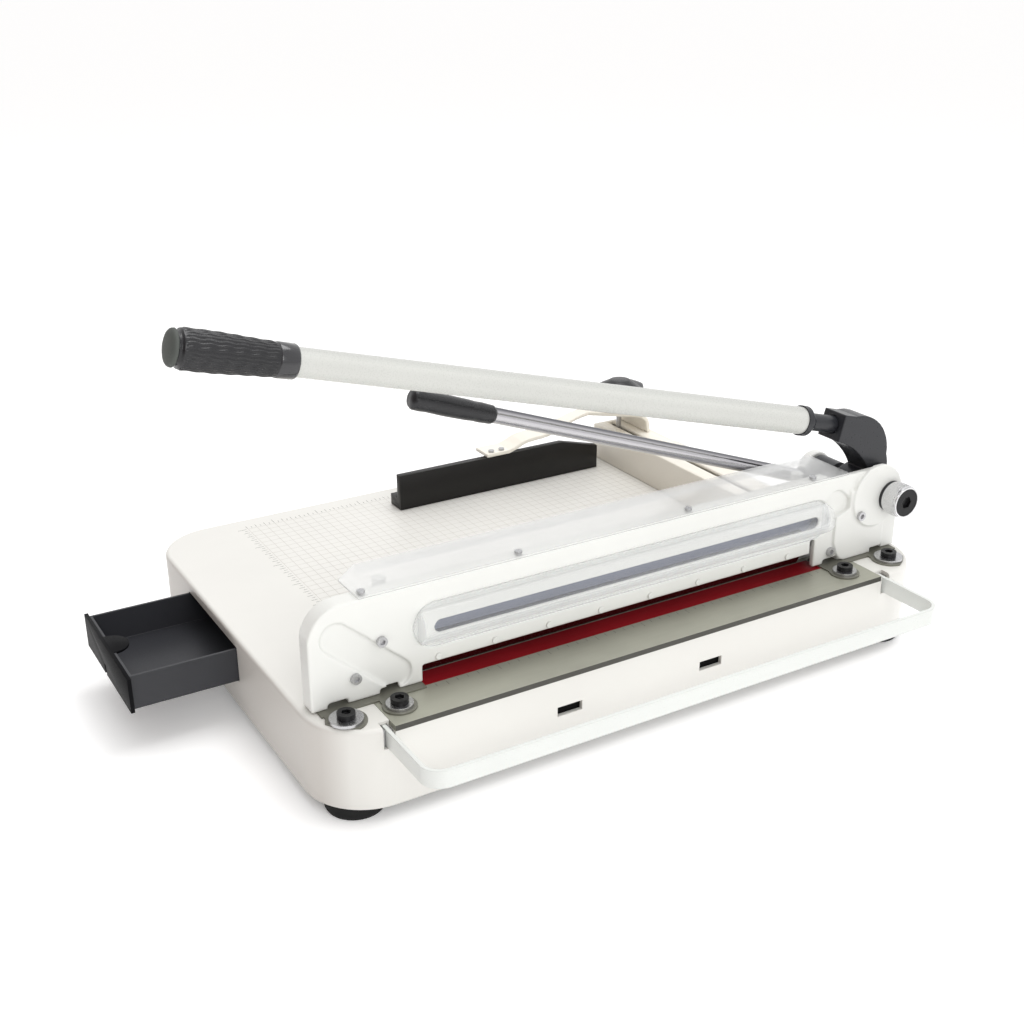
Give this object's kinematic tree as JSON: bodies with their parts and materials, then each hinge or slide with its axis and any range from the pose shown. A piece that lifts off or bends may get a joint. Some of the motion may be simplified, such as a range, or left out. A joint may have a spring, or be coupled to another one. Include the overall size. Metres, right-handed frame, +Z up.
{
  "type": "guillotine paper cutter",
  "caption": "Lever guillotine paper cutter with flat base, slanted-travel blade in a front housing, clamp lever, pull-out drawer, front support bar, side fence and sliding back gauge.",
  "frame": {"origin": "centre of the cutter's outline seen from above, with the drawer and the front bar out, on the floor under the rubber feet", "axes": "+X to the right along the blade, +Y to the back, +Z up"},
  "size_m": [0.7494, 0.528, 0.4073],
  "materials": {
    "shell_paint": "satin cream baked paint, fine texture",
    "rubber": "matt black rubber",
    "steel": "plain bright steel",
    "bed_steel": "worn olive-grey steel plate",
    "red_stick": "deep red plastic, slightly scored",
    "drawer_plastic": "charcoal moulded plastic",
    "bar_paint": "satin off-white paint",
    "housing_paint": "satin light grey paint",
    "black_paint": "satin black paint over casting",
    "black_steel": "blackened steel",
    "clear": "clear plastic sheet, slightly blue",
    "dark_steel": "dark oiled steel",
    "bronze": "plain bearing bronze",
    "carrier_paint": "blue-grey paint",
    "blade_steel": "ground tool steel",
    "grip_plastic": "black moulded plastic",
    "chrome": "polished chrome",
    "clamp_alu": "machined aluminium",
    "fence_paint": "beige paint",
    "gauge_paint": "satin black-brown paint",
    "knob_plastic": "black moulded plastic"
  },
  "bodies": {
    "base": {"base_shell": "shell_paint", "feet": "rubber", "foot_screws": "steel", "bed_plate": "bed_steel", "cutting_stick": "red_stick", "drawer_runners": "steel", "front_bar_guides": "steel", "front_plate": "housing_paint", "plate_feet": "bed_steel", "hold_down_bolts": "black_steel", "hold_down_washers": "steel", "window": "clear", "window_screws": "steel", "housing_screws": "dark_steel", "slide_rails": "steel", "pivot_shaft": "steel", "shaft_spacers": "steel", "lock_bush": "black_paint", "clamp_posts": "steel", "rear_bracket": "housing_paint", "bracket_bolts": "black_steel", "rear_guard": "clear", "guard_screws": "steel", "side_fence": "fence_paint"},
    "drawer": {"drawer_box": "drawer_plastic", "drawer_front": "drawer_plastic"},
    "front_bar": {"front_bar": "bar_paint"},
    "cutting_lever": {"lever_elbow": "black_paint", "crank_pin": "steel", "lever_collar": "black_paint", "lever_tube": "bar_paint", "lever_grip": "grip_plastic", "grip_cap": "grip_plastic"},
    "blade_slide": {"blade_carrier": "carrier_paint", "slide_blocks": "bronze", "blade": "blade_steel", "blade_bolts": "black_steel"},
    "lock": {"lock_knob": "chrome", "lock_pin": "steel", "lock_cap": "black_steel"},
    "clamp_lever": {"clamp_hub": "black_paint", "clamp_pin": "steel", "clamp_rod": "chrome", "clamp_grip": "grip_plastic"},
    "clamp": {"clamp_beam": "clamp_alu"},
    "back_gauge": {"gauge_bar": "gauge_paint", "gauge_carriage": "fence_paint", "gauge_nut": "steel", "gauge_screws": "steel"},
    "gauge_knob": {"gauge_knob": "knob_plastic"}
  },
  "joints": [
    {"name": "drawer_pull", "type": "slide", "parent": "base", "child": "drawer", "axis": [-1, 0, 0], "range_m": [-0.0955, 0.02]},
    {"name": "front_bar_push", "type": "slide", "parent": "base", "child": "front_bar", "axis": [0, 1, 0], "range_m": [0, 0.054]},
    {"name": "cutting_lever_hinge", "type": "hinge", "parent": "base", "child": "cutting_lever", "pos_m": [0.33675, -0.1195, 0.148], "axis": [0, 1, 0], "range_deg": [0, 60]},
    {"name": "blade_travel", "type": "slide", "parent": "base", "child": "blade_slide", "axis": [-0.7314, 0, 0.682], "range_m": [0, 0.04]},
    {"name": "lock_pull", "type": "slide", "parent": "base", "child": "lock", "axis": [0, -1, 0], "range_m": [0, 0.008], "stiffness_N_per_m": 600},
    {"name": "clamp_travel", "type": "slide", "parent": "base", "child": "clamp", "axis": [0, 0, 1], "range_m": [0, 0.024]},
    {"name": "clamp_lever_hinge", "type": "hinge", "parent": "base", "child": "clamp_lever", "pos_m": [0.33675, -0.074, 0.148], "axis": [0, 1, 0], "range_deg": [0, 50]},
    {"name": "gauge_travel", "type": "slide", "parent": "base", "child": "back_gauge", "axis": [0, -1, 0], "range_m": [-0.01, 0.2]},
    {"name": "gauge_knob_turn", "type": "hinge", "parent": "back_gauge", "child": "gauge_knob", "pos_m": [0.27425, 0.209, 0.17], "axis": [0, 0, 1], "range_deg": [-180, 180]}
  ],
  "couplings": [
    {"joint": "blade_travel", "follows": "cutting_lever_hinge", "m_per_rad": 0.03819},
    {"joint": "clamp_lever_hinge", "follows": "clamp_travel", "rad_per_m": 36.36}
  ]
}
